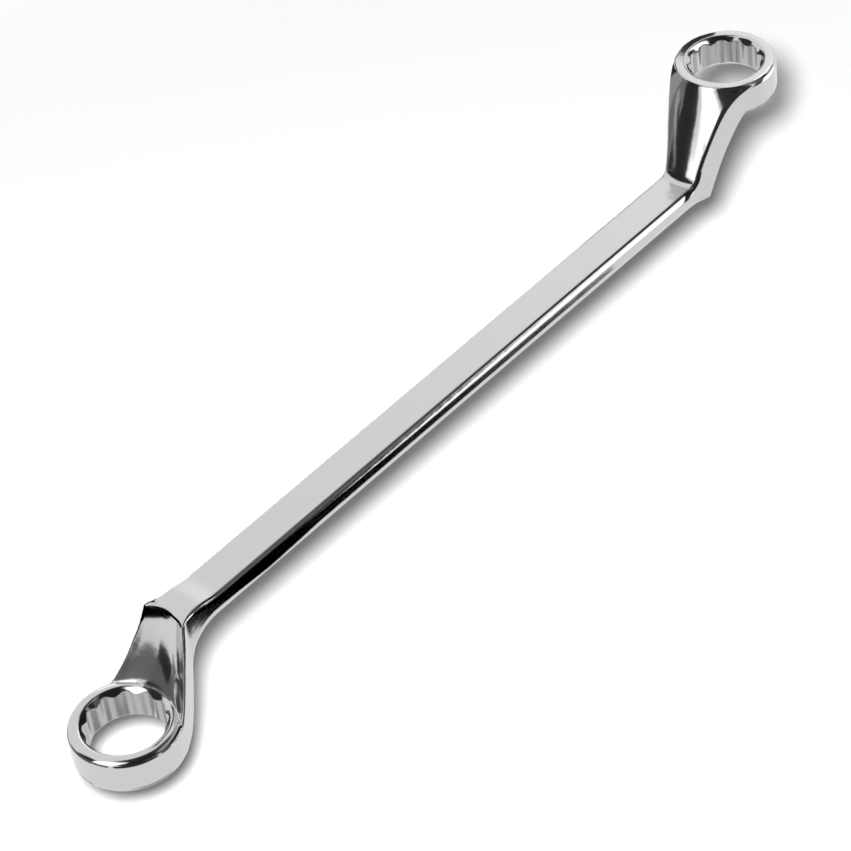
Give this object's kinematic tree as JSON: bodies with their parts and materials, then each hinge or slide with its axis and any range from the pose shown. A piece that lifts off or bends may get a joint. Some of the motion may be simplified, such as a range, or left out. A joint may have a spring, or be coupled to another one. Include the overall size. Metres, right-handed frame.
{
  "type": "double ended ring spanner",
  "caption": "Deep offset double ended ring spanner, 16 mm by 17 mm, forged in one piece, with twelve point sockets and a flat polished shank.",
  "frame": {"origin": "under the middle of the whole tool, level with the large ring's lower face", "axes": "+X along the tool from the large ring to the small ring, +Z along both ring axes from the lower face to the upper face, the plane Y = 0 cuts the tool into two mirrored halves"},
  "size_m": [0.2454, 0.026, 0.0515],
  "materials": {
    "chrome_plate": "polished"
  },
  "bodies": {
    "root": {"ring_spanner": "chrome_plate"}
  },
  "joints": []
}
